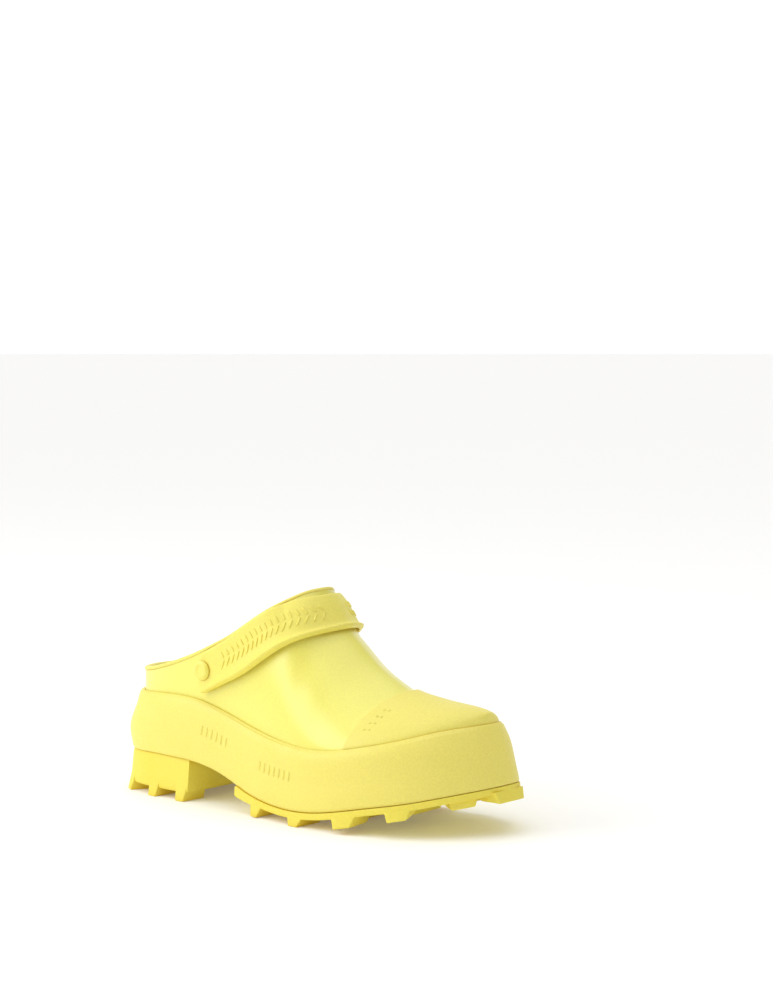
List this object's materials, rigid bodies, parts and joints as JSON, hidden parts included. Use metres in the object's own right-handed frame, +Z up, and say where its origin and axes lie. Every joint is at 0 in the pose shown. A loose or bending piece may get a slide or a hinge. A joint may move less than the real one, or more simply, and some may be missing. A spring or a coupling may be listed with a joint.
{
  "type": "rubber garden clog",
  "caption": "Right-foot rubber garden clog: glossy moulded upper, lugged platform sole, matte toe cap and a swing-back heel strap on two rivets.",
  "frame": {"origin": "middle of the footprint box at ground level, under the shoe", "axes": "+X towards the toe, +Y towards the medial (inner) side of this right shoe, +Z up"},
  "size_m": [0.3033, 0.108, 0.1422],
  "materials": {
    "upper": "smooth glossy moulded rubber, lemon yellow",
    "matte": "matte moulded rubber, pale yellow, fine moulding grain",
    "sole": "matte tread rubber, yellow",
    "strap": "matte flexible moulded rubber, pale yellow",
    "rivet": "satin moulded plastic, pale yellow",
    "lining": "knitted textile bonded inside the upper",
    "foam": "closed-cell foam",
    "board": "fibre insole board",
    "cover": "textile sock over the insole",
    "steel": "spring-steel shank"
  },
  "bodies": {
    "shoe": {"upper_shell": "upper", "collar_binding": "matte", "upper_lining": "lining", "sidewall_band": "matte", "toe_cap": "matte", "midsole_wedge": "foam", "shank_plate": "steel", "insole_board": "board", "insole_foam": "foam", "insole_cover": "cover", "forefoot_outsole": "sole", "heel_outsole": "sole", "rivet_button_lateral": "rivet", "rivet_button_medial": "rivet", "rivet_cap_lateral": "rivet", "rivet_cap_medial": "rivet"},
    "strap": {"heel_strap": "strap"}
  },
  "joints": [
    {"name": "strap_pivot", "type": "hinge", "parent": "shoe", "child": "strap", "pos_m": [-0.057, 0, 0.0873], "axis": [0, -1, 0], "range_deg": [0, 138]}
  ]
}
